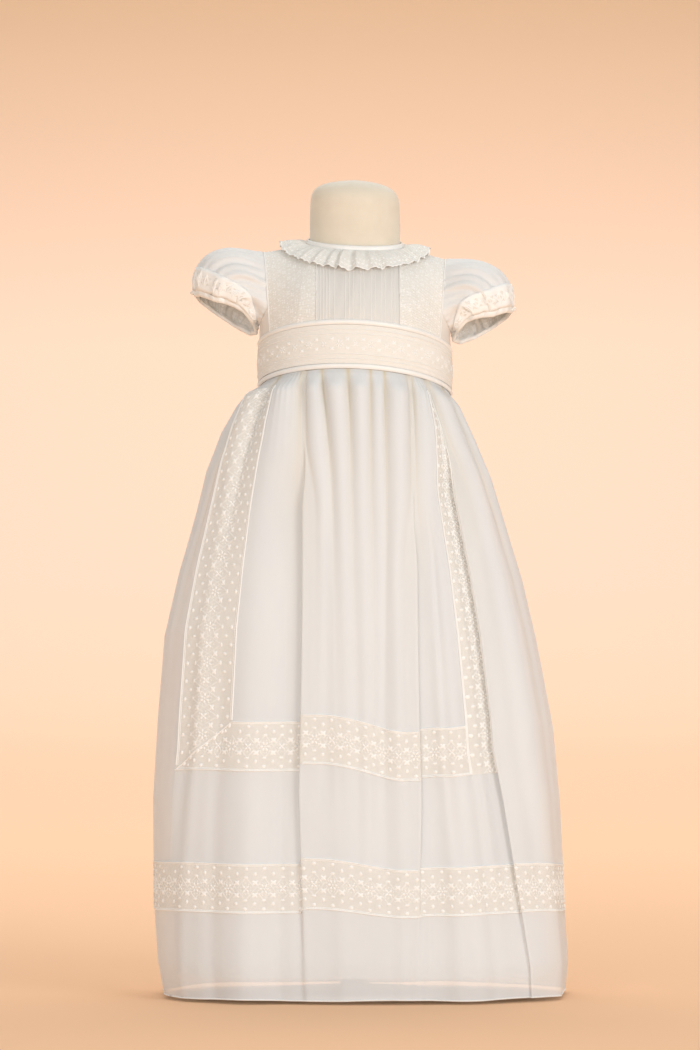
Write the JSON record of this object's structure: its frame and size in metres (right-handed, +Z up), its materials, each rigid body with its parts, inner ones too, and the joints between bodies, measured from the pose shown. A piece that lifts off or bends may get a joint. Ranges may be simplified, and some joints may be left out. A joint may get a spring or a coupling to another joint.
{
  "type": "christening gown on a child dress form",
  "caption": "Long ivory christening gown of sheer cloth with lace bands, puff sleeves and a lace sash, hanging open over a limbless child dress form on a round base.",
  "frame": {"origin": "centre of the underside of the stand's round base", "axes": "+Z up, the gown's front faces -Y, +X to the right as seen from the front"},
  "size_m": [0.3854, 0.2384, 0.754],
  "materials": {
    "sheer_cloth": "sheer silk organza, slightly see-through, soft sheen",
    "lace": "fine cream machine lace, matte",
    "lining": "plain satin cotton, opaque",
    "binding": "narrow satin bias binding, soft sheen",
    "form_cover": "beige cotton jersey, matte",
    "stand_enamel": "off-white enamel, satin",
    "button_shell": "pearly white, glossy"
  },
  "bodies": {
    "root": {"bodice_front": "sheer_cloth", "bodice_back_left": "sheer_cloth", "bodice_back_right": "sheer_cloth", "bodice_side_left": "sheer_cloth", "bodice_side_right": "sheer_cloth", "bodice_placket": "sheer_cloth", "sleeve_left": "sheer_cloth", "sleeve_right": "sheer_cloth", "skirt_back_left": "sheer_cloth", "skirt_side_left": "sheer_cloth", "skirt_front": "sheer_cloth", "skirt_side_right": "sheer_cloth", "skirt_back_right": "sheer_cloth", "bodice_lace_left": "lace", "bodice_lace_right": "lace", "neck_ruffle": "lace", "sleeve_lace_left": "lace", "sleeve_lace_right": "lace", "sash_lace_front": "lace", "sash_lace_back_left": "lace", "sash_lace_back_right": "lace", "skirt_lace_left": "lace", "skirt_lace_right": "lace", "skirt_lace_across": "lace", "skirt_lace_band_left": "lace", "skirt_lace_band_front": "lace", "skirt_lace_band_right": "lace", "lining_lace": "lace", "neck_binding": "binding", "cuff_binding_left": "binding", "cuff_binding_right": "binding", "cuff_bow_left": "binding", "cuff_bow_right": "binding", "sash_binding_top_front": "binding", "sash_binding_top_back_left": "binding", "sash_binding_top_back_right": "binding", "sash_binding_bottom_front": "binding", "sash_binding_bottom_back_left": "binding", "sash_binding_bottom_back_right": "binding", "lining_front": "lining", "lining_back": "lining", "lining_side_left": "lining", "lining_side_right": "lining", "form_body": "form_cover", "stand_base": "stand_enamel", "stand_pole": "stand_enamel", "button_1": "button_shell", "button_2": "button_shell", "button_3": "button_shell", "button_4": "button_shell"}
  },
  "joints": []
}
